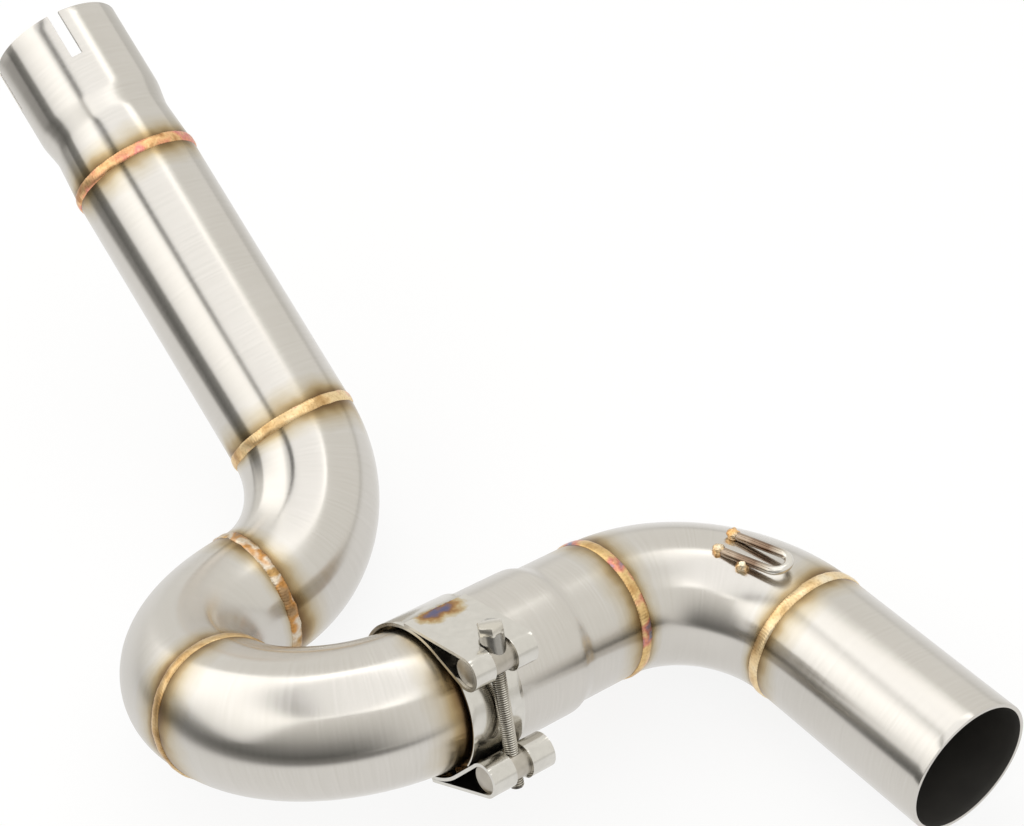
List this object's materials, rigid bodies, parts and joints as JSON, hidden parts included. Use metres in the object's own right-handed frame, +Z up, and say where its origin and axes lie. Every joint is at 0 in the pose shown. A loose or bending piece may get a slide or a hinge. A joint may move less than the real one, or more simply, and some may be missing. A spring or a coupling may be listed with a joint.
{
  "type": "motorcycle exhaust mid-pipe",
  "caption": "Bent stainless exhaust mid-pipe with a slotted inlet socket, welded bends, a bolted band clamp on its slip joint, a spring hook and a plain tail end.",
  "frame": {"origin": "middle of the bottom of the box round the whole part, on the surface that it lies on", "axes": "+Z up from the surface that the pipe lies on; +Y away from the viewer, along the longest side of the box; +X to the viewer's right"},
  "size_m": [0.328, 0.3654, 0.1578],
  "materials": {
    "stainless_tube": "satin stainless tube",
    "weld_bead": "bare weld bead with straw heat tint",
    "hook_wire": "heat-tinted stainless wire",
    "tack_weld": "bare tack weld with straw heat tint",
    "clamp_strip": "bright rolled stainless strip",
    "seam_weld": "resistance weld with violet heat tint",
    "barrel_steel": "bright turned steel",
    "sleeve_steel": "grey turned steel",
    "bolt_steel": "bright zinc plate"
  },
  "bodies": {
    "root": {"inlet_socket": "stainless_tube", "straight_tube": "stainless_tube", "upper_bend": "stainless_tube", "middle_bend": "stainless_tube", "lower_bend": "stainless_tube", "outlet_socket": "stainless_tube", "outlet_bend": "stainless_tube", "tail_tube": "stainless_tube", "socket_weld": "weld_bead", "upper_weld": "weld_bead", "middle_weld": "weld_bead", "lower_weld": "weld_bead", "outlet_weld": "weld_bead", "tail_weld": "weld_bead", "spring_hook": "hook_wire", "hook_welds": "tack_weld", "clamp_band": "clamp_strip", "clamp_bridge": "clamp_strip", "band_welds": "seam_weld", "plain_barrel": "barrel_steel", "tapped_barrel": "barrel_steel", "clamp_sleeve": "sleeve_steel", "clamp_bolt": "bolt_steel"}
  },
  "joints": []
}
